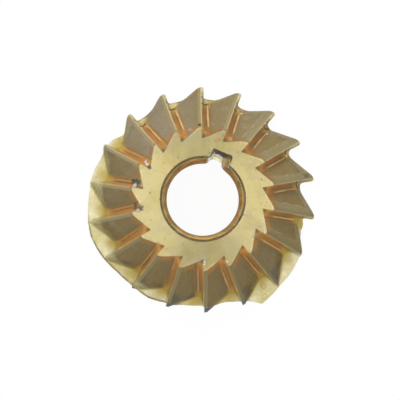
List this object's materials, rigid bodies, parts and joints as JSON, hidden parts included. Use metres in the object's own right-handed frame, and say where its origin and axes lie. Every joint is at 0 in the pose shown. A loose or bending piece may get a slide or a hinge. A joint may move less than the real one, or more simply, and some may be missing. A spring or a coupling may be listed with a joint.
{
  "type": "angle milling cutter",
  "caption": "Single-angle shell milling cutter with a keyed arbor bore, sealed in a translucent amber peel-off dip coat that webs its gashes and spreads in a thin skirt.",
  "frame": {"origin": "on the axis of the arbor bore, in the plane of the coat's underside, on which the cutter lies", "axes": "+Z along the axis from the large flat face to the small hub face, +Y through the middle of the keyway"},
  "size_m": [0.08, 0.0799, 0.0209],
  "materials": {
    "tool_steel": "ground",
    "peel_film": "clear glossy amber"
  },
  "bodies": {
    "root": {"cutter_body": "tool_steel", "peel_coating": "peel_film"}
  },
  "joints": []
}
